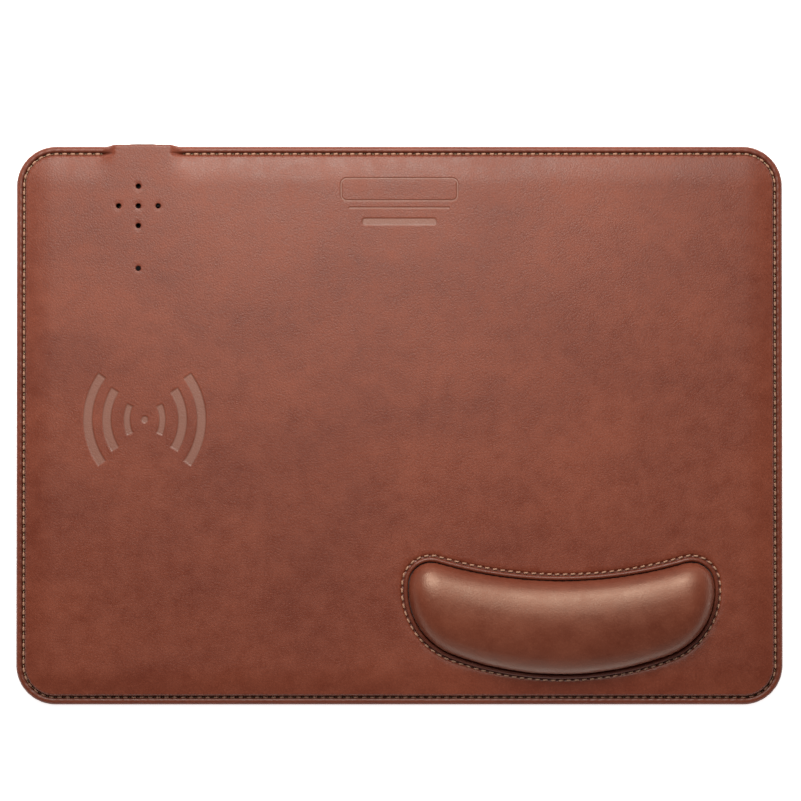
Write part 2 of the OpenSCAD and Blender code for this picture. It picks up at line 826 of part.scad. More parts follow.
module coil_leads() {
    color([0.70, 0.36, 0.18])
        for (lead = leads) {
            wire(coil_x + lead[0], lead[1], lead[2], lead_d);
            // stub up to the end of the coil's wire
            translate([coil_x + lead[0], lead[1], lead_z])
                cylinder(h = coil_bottom - lead_z, d = lead_d, $fn = 32);
        }
}

// flat lead from below the sensor to the printed board
module sensor_lead(x) {
    end = lead_end + 1;
    translate([x - sensor_wire / 2, coil_y - sensor_wire / 2, lead_z]) {
        cube([sensor_wire, sensor_wire, coil_bottom + past / 2 - lead_z]);
        cube([sensor_wire, end - coil_y, sensor_wire]);
    }
    translate([x - sensor_wire / 2, end - sensor_wire, pcb_top])
        cube([sensor_wire, sensor_wire, lead_z + sensor_wire - pcb_top]);
}

module temperature_sensor() {
    color([0.12, 0.12, 0.13]) {
        translate([sensor_x, coil_y, coil_bottom])
            cylinder(h = coil_wire, d = sensor_diameter, $fn = 48);
        for (x = [-0.25, 0.25])
            sensor_lead(sensor_x + x);
    }
}

module solder_joints() {
    color(steel)
        for (lead = leads)
            translate([coil_x + lead[0], lead[2] + joint_diameter / 2, pcb_top])
                cylinder(h = 0.9, d1 = joint_diameter, d2 = 1, $fn = 48);
}

base_sheet();
stiffener_board();
foam_core();
top_leather();
perimeter_stitching();
wrist_foam();
wrist_cover();
wrist_piping();
wrist_piping_cord();
wrist_stitching();
housing_base();
housing_cover();
housing_screws();
port_bezel();
usb_shell();
usb_tongue();
usb_contacts();
main_pcb();
controller_chip();
power_transistors();
power_inductor();
resonant_capacitors();
passive_chips();
status_led();
light_pipe();
coil_pad();
ferrite_sheet();
coil_adhesive();
transmit_coil();
coil_film();
coil_leads();
temperature_sensor();
solder_joints();
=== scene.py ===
"""Looks of a leather desk pad with a built-in phone charger and a padded wrist rest.

Shapes are worked out in millimetres in the CAD frame, and become metres as each mesh is made.
"""

import json
import math

import bpy
import numpy as np
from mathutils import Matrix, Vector
from mathutils.geometry import delaunay_2d_cdt


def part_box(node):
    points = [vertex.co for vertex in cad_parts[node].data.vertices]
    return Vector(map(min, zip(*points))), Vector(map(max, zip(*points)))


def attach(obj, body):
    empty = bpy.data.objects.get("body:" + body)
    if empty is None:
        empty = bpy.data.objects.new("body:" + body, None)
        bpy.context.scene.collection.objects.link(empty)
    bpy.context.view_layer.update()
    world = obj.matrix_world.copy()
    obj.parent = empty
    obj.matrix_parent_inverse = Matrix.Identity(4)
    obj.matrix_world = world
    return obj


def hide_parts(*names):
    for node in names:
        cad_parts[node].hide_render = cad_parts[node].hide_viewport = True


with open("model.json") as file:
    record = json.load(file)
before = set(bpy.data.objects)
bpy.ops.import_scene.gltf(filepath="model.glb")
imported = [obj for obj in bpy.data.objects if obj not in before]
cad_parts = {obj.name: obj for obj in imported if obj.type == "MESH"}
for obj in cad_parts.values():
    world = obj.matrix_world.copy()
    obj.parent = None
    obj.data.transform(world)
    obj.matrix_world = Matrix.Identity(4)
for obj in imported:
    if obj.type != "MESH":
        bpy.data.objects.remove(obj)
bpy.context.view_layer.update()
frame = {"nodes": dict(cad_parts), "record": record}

MM = 0.001


def cad_mm(node):
    """A CAD node's lowest and highest corners, in millimetres."""
    low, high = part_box(node)
    return np.array(low) / MM, np.array(high) / MM


# ---- places, from the CAD frame ----
pad_low, pad_high = cad_mm("top_leather")
film_low, film_high = cad_mm("coil_film")
pipe_low, pipe_high = cad_mm("light_pipe")
cover_low, cover_high = cad_mm("wrist_cover")
foam_low = cad_mm("wrist_foam")[0]
shell_low, shell_high = cad_mm("usb_shell")

HALF = np.array([pad_high[0], -pad_low[1]])
PAD_TOP = pad_high[2]
PORT_FACE = pad_high[1]
PORT = (shell_low + shell_high) / 2
LIGHT = ((pipe_low + pipe_high) / 2)[:2]
COIL = ((film_low + film_high) / 2)[:2]

# ---- the pad's edge: distances in from the outline, and heights ----
CORNER = 18.0
SEAM_IN = 3.4
STITCH_PITCH = 3.75
EDGE_THREAD = 0.92
# columns of points in each stitch's length of edge
FINE_COLUMNS = 6
GROOVE_Z = 2.95
# over the foam the leather rises in a short lip, then in a long swell
PILLOW_IN = 3.85
PILLOW_RUN = 14.0
LIP_RUN = 1.3
LIP_RISE = 2.3
LIP_ROWS = (3.95, 4.15, 4.42, 4.75, 5.15, 5.5)
PILLOW_START = 6.1
PILLOW_END = 10.0
UNEVEN = 0.035
# the rim's rolled section: its centre's distance in and height, and its half height
ROLL_CENTRE = (1.75, 2.0)
ROLL_HEIGHT = 1.85

# ---- the stretch of edge that carries the port ----
PORT_HALF = 12.0
PORT_RAMP = 5.5
PORT_OUT = PORT_FACE - HALF[1]
PORT_NOSE = 0.95
OPENING = np.array([12.0, 4.8])
OPENING_LIP = 0.15
OPENING_DEPTH = 1.2
# the wall's rows and half width that are remade round the opening
WALL_ROWS = (3, 7)
PATCH_HALF = 7.4

# ---- pressed marks and holes ----
PRESS_DEPTH = 0.3
PRESS_SOFT = 0.22
LINE_SOFT = 0.12
# loops that shape a pressed edge, in its softness outwards
EDGE_LOOPS = (2.6, 1.0, -1.0, -2.6)
# each arc's distance from the dot, width and reach up and down; their centres lie past the dot
ARCS = ((8.1, 2.9, 6.6), (17.3, 4.0, 13.5), (25.9, 4.1, 20.0))
ARC_SHIFT = 8.0
DOT_RADIUS = 1.6
LABEL_Y = HALF[1] - 26
LABEL_FRAME = 0.9
PINHOLE = 1.1
PINHOLE_DEPTH = 1.1
CROSS = np.array([LIGHT[0], HALF[1] - 27.5])
CROSS_STEP = 9.0

# ---- wrist rest outline: arcs that meet on common tangents ----
# the cover's facets stop this far short of the front of the outline that they follow
FACET_GAP = 0.11
WRIST = np.array([(cover_low[0] + cover_high[0]) / 2, cover_low[1] - FACET_GAP])
WAIST = 42.3
BACK_R = 200.0
FRONT_R = 140.0
LOBE_R = 10.0
SIDE_R = 31.0
LOBE_X = 59.3
CREST = cover_high[2]

# ---- the channel round the wrist rest, with its bead and stitches ----
CHANNEL_Z = PAD_TOP - 0.5
CHANNEL_OUT = 3.6
CHANNEL_SOFT = 0.5
BEAD_R = 1.0
BEAD_OUT = 1.2
TUCK = 0.8
WRIST_STITCH_OUT = 2.95
WRIST_STITCH_PITCH = 3.56
WRIST_THREAD = 0.8

# ---- view, in metres ----
VIEW_CENTRE = Vector((0.0005, 0.0113, 0.005))
VIEW_WIDTH = 0.3653
VIEW_DISTANCE = 1.2
VIEW_ELEVATION = math.radians(89.4)


def smooth(t):
    """0 below 0, 1 above 1, and an even curve between."""
    t = np.clip(t, 0, 1)
    return t * t * (3 - 2 * t)


def bell(t):
    """1 at 0, falling away evenly on both sides."""
    return np.exp(-t * t)


# ---- meshes ----
def mesh_piece(name, points, faces, material):
    """A smooth-shaded object from points in millimetres."""
    mesh = bpy.data.meshes.new(name)
    mesh.from_pydata([tuple(p) for p in np.asarray(points, float) * MM], [], faces)
    mesh.validate()
    mesh.shade_smooth()
    piece = bpy.data.objects.new(name, mesh)
    bpy.context.scene.collection.objects.link(piece)
    mesh.materials.append(material)
    return piece


def strip_faces(rows, columns, start=0):
    """Quads between closed rows of points, each row running the same way."""
    faces = []
    for r in range(rows - 1):
        for c in range(columns):
            n = (c + 1) % columns
            a = start + r * columns
            faces.append((a + c, a + n, a + columns + n, a + columns + c))
    return faces


def reduce_faces(first, second, columns):
    """Faces from a row of points to a row with half as many."""
    half = columns // 2
    return [(first + 2 * c, first + 2 * c + 1, first + (2 * c + 2) % columns,
             second + (c + 1) % half, second + c) for c in range(half)]


def inside(loop, points):
    """Which points lie inside a closed loop."""
    x, y = points[:, 0], points[:, 1]
    hit = np.zeros(len(points), bool)
    for (x0, y0), (x1, y1) in zip(loop, np.roll(loop, -1, axis=0)):
        if y0 == y1:
            continue
        crosses = (y0 > y) != (y1 > y)
        hit ^= crosses & (x < (x1 - x0) * (y - y0) / (y1 - y0) + x0)
    return hit


def triangulate(points, loops):
    """Triangles over the points that keep the loops' edges, all facing up.

    Gives the places, the triangles, and which given point each place came from.
    """
    merge, sliver = 1e-7, 1e-6
    edges = [(a, b) for loop in loops for a, b in zip(loop, loop[1:] + loop[:1])]
    flat = [Vector(p) for p in points]
    out, _, faces, source, _, _ = delaunay_2d_cdt(flat, edges, [], 0, merge)
    places = np.array([tuple(p) for p in out])
    tri = np.array([f for f in faces if len(f) == 3])
    a, b, c = (places[tri[:, k]] for k in range(3))
    area = (b[:, 0] - a[:, 0]) * (c[:, 1] - a[:, 1]) - (b[:, 1] - a[:, 1]) * (c[:, 0] - a[:, 0])
    tri[area < 0] = tri[area < 0][:, ::-1]
    tri = tri[np.abs(area) > sliver]
    return places, tri, [s[0] if s else -1 for s in source]


# ---- outlines ----
def edge_columns(per_stitch):
    """Origins and outward normals round the pad, anticlockwise from the back's right end.

    A point of the edge at a distance d in from the outline is origin + normal * (CORNER - d). The
    last result is how far round a corner each column lies, or -1 on a straight side.
    """
    run = 2 * (HALF - CORNER)
    turn = (CORNER - SEAM_IN) * math.pi / 2
    lengths = [run[0], turn, run[1], turn] * 2
    length = sum(lengths)
    count = int(length // STITCH_PITCH) * per_stitch
    s = np.arange(count) * length / count
    starts = np.concatenate([[0], np.cumsum(lengths)])
    leg = np.clip(np.searchsorted(starts, s, side="right") - 1, 0, 7)
    t = (s - starts[leg]) / np.array(lengths)[leg]
    corners = np.array([[1, 1], [-1, 1], [-1, -1], [1, -1]]) * (HALF - CORNER)
    side = leg // 2
    straight = leg % 2 == 0
    begin = corners[side]
    end = corners[(side + 1) % 4]
    origin = np.where(straight[:, None], begin + (end - begin) * t[:, None], end)
    angle = math.pi / 2 * (side + 1) + np.where(straight, 0, t * math.pi / 2)
    normal = np.stack([np.cos(angle), np.sin(angle)], 1)
    return origin, normal, np.where(straight, -1.0, t)


def wrist_arcs():
    """The outline's arcs as (centre, radius, start, sweep), anticlockwise; the back is hollow."""
    back = np.array([0, WAIST + BACK_R])
    front = np.array([0, FRONT_R])
    lobe = np.array([LOBE_X, back[1] - math.sqrt((BACK_R + LOBE_R) ** 2 - LOBE_X ** 2)])
    reach = front - lobe
    far = math.hypot(*reach)
    a, b = SIDE_R - LOBE_R, FRONT_R - SIDE_R
    turn = math.acos((a * a + far * far - b * b) / (2 * a * far))
    heading = math.atan2(reach[1], reach[0]) + turn
    side = lobe + a * np.array([math.cos(heading), math.sin(heading)])
    back_angle = math.atan2(lobe[1] - back[1], lobe[0])
    side_angle = heading - math.pi
    front_angle = math.atan2(side[1] - front[1], side[0])
    lobe_sweep = back_angle + math.pi - side_angle
    side_sweep = side_angle - front_angle
    mirror = np.array([-1, 1])
    return [
        (front, FRONT_R, -math.pi - front_angle, 2 * front_angle + math.pi),
        (side, SIDE_R, front_angle, side_sweep),
        (lobe, LOBE_R, side_angle, lobe_sweep),
        (back, BACK_R, back_angle, -2 * back_angle - math.pi),
        (lobe * mirror, LOBE_R, -back_angle, lobe_sweep),
        (side * mirror, SIDE_R, math.pi - side_angle, side_sweep)]


def wrist_path(out, count):
    """Points and headings evenly round the wrist outline moved out by a distance."""
    arcs = [(c, r + out * np.sign(w), a, w) for c, r, a, w in wrist_arcs()]
    lengths = [r * abs(w) for _, r, _, w in arcs]
    starts = np.concatenate([[0], np.cumsum(lengths)])
    points, headings = [], []
    for s in (np.arange(count) + 0.5) * starts[-1] / count:
        k = min(int(np.searchsorted(starts, s, side="right")) - 1, len(arcs) - 1)
        c, r, a, w = arcs[k]
        angle = a + w * (s - starts[k]) / lengths[k]
        points.append(WRIST + c + r * np.array([math.cos(angle), math.sin(angle)]))
        headings.append(angle + math.pi / 2 * np.sign(w))
    return np.array(points), np.array(headings)


def wrist_length(out):
    """Length of the wrist outline moved out by a distance."""
    return sum((r + out * np.sign(w)) * abs(w) for _, r, _, w in wrist_arcs())


def rounded_loop(centre, width, depth, radius, out):
    """A rounded rectangle moved out by a distance."""
    spacing, smallest = 0.9, 0.05
    r = max(radius + out, smallest)
    x, y = width / 2 + out - r, depth / 2 + out - r
    loop = []
    for k, (sx, sy) in enumerate(((1, 1), (-1, 1), (-1, -1), (1, -1))):
        for a in np.linspace(k, k + 1, 6) * math.pi / 2:
            loop.append([sx * x + r * math.cos(a), sy * y + r * math.sin(a)])
    return fill_gaps(np.array(loop) + centre, spacing)


def fill_gaps(loop, spacing):
    """The loop with points added so that none are further apart than spacing."""
    out = []
    for p, q in zip(loop, np.roll(loop, -1, axis=0)):
        steps = max(1, int(math.dist(p, q) / spacing + 0.5))
        out.extend(p + (q - p) * k / steps for k in range(steps))
    return np.array(out)


def circle_loop(centre, radius, out):
    """A circle moved out by a distance."""
    spacing, fewest = 0.5, 20
    count = max(fewest, int(2 * math.pi * radius / spacing))
    a = np.arange(count) * 2 * math.pi / count
    return centre + (radius + out) * np.stack([np.cos(a), np.sin(a)], 1)


def arc_loop(side, middle, width, reach, out):
    """A bent band on one side of the dot, moved out by a distance."""
    spacing, fewest = 0.7, 8
    radius = middle + ARC_SHIFT
    centre = COIL - [side * ARC_SHIFT, 0]
    facing = 0 if side > 0 else math.pi
    loops = []
    for r, way in ((radius + width / 2 + out, 1), (radius - width / 2 - out, -1)):
        half = math.asin(reach / radius) + out / r
        a = facing + way * np.linspace(-half, half, max(fewest, int(2 * half * r / spacing)))
        loops.append(centre + r * np.stack([np.cos(a), np.sin(a)], 1))
    return fill_gaps(np.concatenate(loops), 0.6)


# ---- top leather ----
def rim_profile():
    """(distance in, height) from the hem under the pad, over the roll, to the pillow's foot."""
    angle = np.radians(np.linspace(-75, 140, 14))
    roll = np.stack([ROLL_CENTRE[0] * (1 - np.cos(angle)), ROLL_CENTRE[1] + ROLL_HEIGHT * np.sin(angle)], 1)
    groove = [(3.15, 2.72), (3.3, 2.52), (3.45, 2.52), (3.62, 2.72)]
    return np.array([(1.8, 0.55), (1.3, 0.42), *roll, *groove, *[(d, crown(d)) for d in LIP_ROWS]])


def crown(d):
    """Height over the foam at a distance in from the edge: a short lip, then a long swell."""
    lip = 1 - (1 - np.clip((d - PILLOW_IN) / LIP_RUN, 0, 1)) ** 2
    swell = np.sin(math.pi / 2 * np.clip((d - PILLOW_IN) / PILLOW_RUN, 0, 1))
    return GROOVE_Z + LIP_RISE * lip + (PAD_TOP - GROOVE_Z - LIP_RISE) * swell


def port_profile():
    """The same rows where the edge stands straight up round the port."""
    wall_top = PAD_TOP - PORT_NOSE
    face = -PORT_OUT
    wall = [(face + 0.2, 0.5), (face, 0.72), (face, 2), (face, 3.3), (face, 4.6), (face, wall_top)]
    turn = [(face + PORT_NOSE * (1 - math.cos(a)), wall_top + PORT_NOSE * math.sin(a))
            for a in np.radians([22.5, 45, 67.5, 90])]
    flat = [(d, PAD_TOP) for d in (1.0, 1.7, 2.4, 3.0, 3.15, 3.3, 3.45, 3.62)]
    return np.array([(1.8, 0.55), (0.3, 0.42), *wall, *turn, *flat, *[(d, PAD_TOP) for d in LIP_ROWS]])


def port_share(points, d):
    """1 along the stretch that carries the port, falling to 0 over ramps that widen inwards."""
    off = np.abs(points[:, 0] - PORT[0]) - PORT_HALF
    at_back = points[:, 1] > HALF[1] - CORNER - 0.01
    return np.where(at_back, 1 - smooth(off / (PORT_RAMP + 0.5 * np.maximum(d, 0))), 0.0)


def undulation(points):
    """Slow unevenness of leather laid over foam, in millimetres."""
    x, y = points[:, 0], points[:, 1]
    waves = np.sin(x / 19 + 1.3 * np.sin(y / 31)) + np.sin(y / 14 + x / 47 + 2) + np.sin((x - y) / 27)
    return UNEVEN * waves


def needle_hole(phase, pitch, across):
    """1 at a needle hole, falling away along the seam and across it."""
    along = (phase - np.round(phase)) * pitch
    return bell(along / 0.5) * bell(across / 0.42)


def seam_relief(d, phase):
    """Height added round the seam: needle holes, and leather that swells between them."""
    swell = 0.5 - 0.5 * np.cos(2 * math.pi * phase)
    bulge = 0.16 * swell * (bell((d - 2.3) / 0.8) + bell((d - 4.5) / 0.9))
    return bulge - 0.4 * needle_hole(phase, STITCH_PITCH, d - SEAM_IN)


def seam_painted_shade(d, phase):
    """Painted shade in and beside the seam, from 0 to 1: a dark band along the groove under the roll, and
    darker needle holes.
    """
    groove = 0.78 * bell((d - 2.95) / 0.95)
    return np.clip(groove + 0.9 * needle_hole(phase, STITCH_PITCH, d - SEAM_IN), 0, 1)


def corner_pleats(corner):
    """How far leather gathered round the corners is drawn in: seven pleats, deepest half-way round."""
    pleats = 7
    folds = np.maximum(0, np.cos(corner * 2 * pleats * math.pi)) ** 3
    return np.where(corner >= 0, folds * np.sin(math.pi * np.clip(corner, 0, 1)), 0)


def rim_rows():
    """Rows of points round the pad's edge, from the hem to the foot of the pillow, and their painted shade.
    """
    origin, normal, corner = edge_columns(FINE_COLUMNS)
    phase = np.arange(len(origin)) / FINE_COLUMNS
    pleat = 0.22 * corner_pleats(corner)
    rows, dirt = [], []
    for (d0, z0), (d1, z1) in zip(rim_profile(), port_profile()):
        share = port_share(origin, d0)
        d = d0 + (d1 - d0) * share
        z = z0 + (z1 - z0) * share + seam_relief(d0, phase) * (1 - share)
        d = d + pleat * bell((z0 - 1.4) / 1.2) * (d0 < 1.8)
        place = origin + normal * (CORNER - d)[:, None]
        rows.append(np.column_stack([place, z]))
        # painted shade along the seam, none along the port's stretch
        dirt.append(seam_painted_shade(d0, phase) * (1 - share))
    return rows, dirt


def inset_of(points):
    """How far points lie in from the pad's edge."""
    fringe = np.abs(points) - (HALF - CORNER)
    round_corner = np.hypot(*np.maximum(fringe, 0).T)
    return CORNER - np.where((fringe > 0).all(axis=1), round_corner, fringe.max(axis=1))


def top_height(points):
    """Height of the pad's top inside its seam, before anything is pressed into it."""
    d = inset_of(points)
    z = crown(d)
    z = z + (PAD_TOP - z) * port_share(points, d)
    z = z + smooth((d - PILLOW_IN) / PILLOW_RUN) * undulation(points)
    sunk = smooth((CHANNEL_OUT + CHANNEL_SOFT - wrist_gap(points)) / (2 * CHANNEL_SOFT))
    return z + (CHANNEL_Z - z) * sunk


# stands for any distance from the wrist rest too great to matter
FAR = 99.0


def wrist_gap(points):
    """How far points lie outside the wrist rest's outline, negative within it, or FAR."""
    margin = 6
    outline = wrist_path(0, 900)[0]
    low, high = outline.min(axis=0) - margin, outline.max(axis=0) + margin
    near = np.flatnonzero(((points > low) & (points < high)).all(axis=1))
    gap = np.full(len(points), FAR)
    if len(near):
        close = points[near]
        reach = np.sqrt(((close[:, None] - outline[None]) ** 2).sum(axis=2).min(axis=1))
        gap[near] = np.where(inside(outline, close), -reach, reach)
    return gap


def pillow_rows():
    """Coarser rows up the pillow, stopping short of everything that lies inside it."""
    origin, normal, _ = edge_columns(FINE_COLUMNS)
    origin, normal = origin[::2], normal[::2]
    return [np.column_stack([place, top_height(place)]) for place in
            (origin + normal * (CORNER - d) for d in np.linspace(PILLOW_START, PILLOW_END, 6))]


class Feature:
    """A pressed shape: its outline at any offset, its depth, and how soft its edge is."""

    def __init__(self, outline, depth, soft=PRESS_SOFT):
        self.outline = outline
        self.depth = depth
        self.soft = soft


def features():
    """Every shape pressed into the flat of the pad. A negative depth comes back up."""
    found = [Feature(lambda o: circle_loop(COIL, DOT_RADIUS, o), PRESS_DEPTH)]
    for side in (1, -1):
        for arc in ARCS:
            found.append(Feature(lambda o, s=side, a=arc: arc_loop(s, *a, o), PRESS_DEPTH))
    edge = LABEL_FRAME
    # height on the label, width, depth, corner radius, how deep it is pressed, and how softly
    bars = [(6, 54, 11, 3, PRESS_DEPTH, LINE_SOFT),
            (6, 54 - 2 * edge, 11 - 2 * edge, 3 - edge, -PRESS_DEPTH, LINE_SOFT),
            (-2.4, 46, 0.9, 0.4, PRESS_DEPTH, LINE_SOFT),
            (-8.6, 34, 3.2, 1.4, PRESS_DEPTH, PRESS_SOFT)]
    for y, width, depth, radius, press, soft in bars:
        found.append(Feature(
            lambda o, c=(0, LABEL_Y + y), w=width, d=depth, r=radius: rounded_loop(c, w, d, r, o),
            press, soft))
    return found


def pinhole_places():
    """The single hole over the light, then the cross of five."""
    steps = ((0, 0), (1, 0), (-1, 0), (0, 1), (0, -1))
    return [LIGHT] + [CROSS + CROSS_STEP * np.array(s) for s in steps]


class Sheet:
    """Points gathered for the pad's flat, with their heights, pressed tone and painted shade, and their
    loops.
    """

    def __init__(self):
        self.points, self.z, self.pressed, self.dirt, self.loops = [], [], [], [], []
        self.count = 0

    def add(self, points, z, pressed=0.0, dirt=0.0, loop=True):
        """Adds points and gives their numbers. A loop's edges are kept when the flat is triangulated."""
        even = np.ones(len(points))
        self.points.append(points)
        self.z.append(z * even)
        self.pressed.append(pressed * even)
        self.dirt.append(dirt * even)
        rows = list(range(self.count, self.count + len(points)))
        self.count += len(points)
        if loop:
            self.loops.append(rows)
        return rows


def pressed_in(shapes, points, skip=None):
    """Depth and tone that the pressed shapes give to points."""
    depth = np.zeros(len(points))
    for shape in shapes:
        if shape is not skip:
            depth += shape.depth * inside(shape.outline(0), points)
    return depth, depth / PRESS_DEPTH


def add_pressed(sheet, shapes):
    """Loops either side of each pressed shape's edge, with a faint line of painted shade at its foot."""
    for shape in shapes:
        for share in EDGE_LOOPS:
            loop = shape.outline(share * shape.soft)
            depth, tone = pressed_in(shapes, loop, shape)
            own = share < 0
            # a faint line of painted shade along the foot of each pressed wall
            line = 0.25 if abs(share) == 1 and shape.depth * share < 0 else 0.0
            sheet.add(loop, top_height(loop) - depth - shape.depth * own,
                      tone + np.sign(shape.depth) * own, line)


def add_pinholes(sheet):
    """Rounded mouths of the pinholes. Gives each one's innermost loop."""
    rims = []
    for place in pinhole_places():
        # the mouths darken towards each hole: painted shade
        for out, fall, dirt in ((0.45, 0, 0), (0.15, 0.08, 0.3), (0, 0.3, 1)):
            loop = circle_loop(place, PINHOLE, out)
            rim = sheet.add(loop, top_height(loop) - fall, dirt=dirt)
        rims.append(rim)
    return rims


def add_channel(sheet):
    """The step down round the wrist rest, its needle holes, and the loop tucked under the bead."""
    for out in (CHANNEL_SOFT, 0.15, -0.2):
        loop = wrist_path(CHANNEL_OUT + out, 620)[0]
        sheet.add(loop, top_height(loop))
    stitches = round(wrist_length(WRIST_STITCH_OUT) / WRIST_STITCH_PITCH)
    per_stitch = 8
    for out in (0.24, 0.0, -0.24):
        loop = wrist_path(WRIST_STITCH_OUT + out, per_stitch * stitches)[0]
        hole = needle_hole((np.arange(len(loop)) + 0.5) / per_stitch, WRIST_STITCH_PITCH, out)
        # painted shade along the stitch line, deepest in the needle holes
        sheet.add(loop, top_height(loop) - 0.3 * hole, dirt=0.25 + 0.7 * hole)
    tuck = wrist_path(BEAD_OUT - TUCK, 560)[0]
    # painted shade where the leather tucks under the bead
    sheet.add(tuck, CHANNEL_Z, dirt=0.8)
    return tuck


def plateau(edge):
    """The pad's top inside its last pillow row: points, triangles, tones, holes' rims."""
    shapes = features()
    sheet = Sheet()
    sheet.add(edge[:, :2], edge[:, 2])
    add_pressed(sheet, shapes)
    rims = add_pinholes(sheet)
    tuck = add_channel(sheet)
    grid = fill_points(edge, shapes)
    depth, tone = pressed_in(shapes, grid)
    sheet.add(grid, top_height(grid) - depth, tone, loop=False)

    places, tri, source = triangulate(np.concatenate(sheet.points), sheet.loops)
    middle = places[tri].mean(axis=1)
    gone = inside(tuck, middle)
    for place in pinhole_places():
        gone |= np.hypot(*(middle - place).T) < PINHOLE * 0.98
    flat = np.column_stack([places, np.concatenate(sheet.z)[source]])
    tones = np.column_stack([np.concatenate(sheet.pressed), np.concatenate(sheet.dirt)])[source]
    return flat, tri[~gone], tones, rims


def fill_points(edge, shapes):
    """Evenly spread points over the flat that keep clear of every loop."""
    step = 2.1
    xs = np.arange(-HALF[0], HALF[0], step)
    ys = np.arange(-HALF[1], HALF[1], step * 0.866)
    grid = np.array([(x + (k % 2) * step / 2, y) for k, y in enumerate(ys) for x in xs])
    grid = grid[inset_of(grid) > inset_of(edge[:, :2]).min() + 1.2]
    gap = wrist_gap(grid)
    clear = gap > CHANNEL_OUT + CHANNEL_SOFT + 0.8
    for shape in shapes:
        loop = shape.outline(0)
        low, high = loop.min(axis=0) - 2, loop.max(axis=0) + 2
        rows = np.flatnonzero(((grid > low) & (grid < high)).all(axis=1))
        reach = np.hypot(grid[rows, None, 0] - loop[None, :, 0], grid[rows, None, 1] - loop[None, :, 1])
        clear[rows[reach.min(axis=1) < EDGE_LOOPS[0] * shape.soft + 0.5]] = False
    for place in pinhole_places():
        clear &= np.hypot(*(grid - place).T) > PINHOLE + 1.1
    return grid[clear]


def wall_ring(rows):
    """The (row, column) places round the part of the port's wall that is remade, and its columns."""
    low, high = WALL_ROWS
    across = np.abs(rows[low][:, 0] - PORT[0])
    near = np.flatnonzero((across < PATCH_HALF) & (rows[low][:, 1] > 0))
    first, last = near[0], near[-1]
    ring = ([(low, c) for c in range(first, last)] + [(r, last) for r in range(low, high)]
            + [(high, c) for c in range(last, first, -1)] + [(r, first) for r in range(high, low, -1)])
    return ring, range(first, last)


def port_patch(rows, columns):
    """The wall round the USB opening: faces to leave out, new points, and new faces.

    A new face's corners are (number, whether it counts among the new points).
    """
    ring, remade = wall_ring(rows)
    border = np.array([[rows[r][c][0], rows[r][c][2]] for r, c in ring])
    centre = np.array([PORT[0], PORT[2]])
    cuts = [rounded_loop(centre, *OPENING, 0.45 * OPENING[1], out) for out in (0.25, 0.0)]
    ends = np.cumsum([0, len(border), len(cuts[0]), len(cuts[1])])
    loops = [list(range(a, b)) for a, b in zip(ends, ends[1:])]
    places, tri, source = triangulate(np.concatenate([border, *cuts]), loops)
    tri = tri[~inside(cuts[1], places[tri].mean(axis=1))]

    lip = ends[2]
    fresh, number = [], {}
    for i, origin in enumerate(source):
        if origin < len(border):
            number[i] = (ring[origin][0] * columns + ring[origin][1], False)
        else:
            number[i] = (len(fresh), True)
            sunk = OPENING_LIP if origin >= lip else 0
            fresh.append((places[i][0], PORT_FACE - sunk, places[i][1]))
    faces = [tuple(number[v] for v in t[::-1]) for t in tri]
    inner = sorted((i for i, origin in enumerate(source) if origin >= lip), key=lambda i: source[i])
    start = len(fresh)
    fresh += [(places[i][0], PORT_FACE - OPENING_DEPTH, places[i][1]) for i in inner]
    for k, i in enumerate(inner):
        n = (k + 1) % len(inner)
        faces.append((number[i], number[inner[n]], (start + n, True), (start + k, True)))
    skip = {r * columns + c for r in range(*WALL_ROWS) for c in remade}
    return {"points": np.array(fresh), "faces": faces, "skip": skip}


def tube(faces, rim, start):
    """Joins a rim of points to a ring of as many new ones."""
    count = len(rim)
    for k in range(count):
        n = (k + 1) % count
        faces.append((rim[k], rim[n], start + n, start + k))


def leather_mesh():
    """Points, faces and tones (pressed, painted shade) of the whole top cover."""
    fine, fine_painted_shade = rim_rows()
    columns = len(fine[0])
    coarse = pillow_rows()
    half = columns // 2
    points = [np.concatenate(fine), np.concatenate(coarse)]
    faces = strip_faces(len(fine), columns)
    start = len(fine) * columns
    patch = port_patch(fine, columns)
    faces = [f for f in faces if f[0] not in patch["skip"]]
    faces += reduce_faces(start - columns, start, columns)
    faces += strip_faces(len(coarse), half, start)

    flat, flat_tri, flat_tones, rims = plateau(coarse[-1])
    offset = start + (len(coarse) - 1) * half
    points.append(flat[half:])
    faces += [tuple(int(v) + offset for v in t) for t in flat_tri]
    dirt = np.concatenate([np.concatenate(fine_painted_shade), np.zeros((len(coarse) - 1) * half)])
    tones = [np.column_stack([np.zeros(offset), dirt]), flat_tones]

    count = offset + len(flat)
    for rim in rims:
        top = flat[rim]
        points.append(np.column_stack([top[:, :2], np.full(len(top), PAD_TOP - PINHOLE_DEPTH)]))
        # the pinholes' walls are fully darkened: painted shade
        tones.append(np.tile([0.0, 1.0], (len(rim), 1)))
        tube(faces, [v + offset for v in rim], count)
        count += len(rim)

    points.append(patch["points"])
    tones.append(np.zeros((len(patch["points"]), 2)))
    faces += [tuple(v + count if new else v for v, new in face) for face in patch["faces"]]
    return np.concatenate(points), faces, np.concatenate(tones)


def top_leather(material):
    """The top cover, with its pressed tone and its painted shade as attributes that its material reads."""
    points, faces, tones = leather_mesh()
    piece = mesh_piece("leather_cover", points, faces, material)
    for column, name in enumerate(("pressed", "dirt")):
        mark = piece.data.attributes.new(name, "FLOAT", "POINT")
        mark.data.foreach_set("value", np.clip(tones[:, column], 0, 1).astype(np.float32))
    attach(piece, "root")
    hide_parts("top_leather")


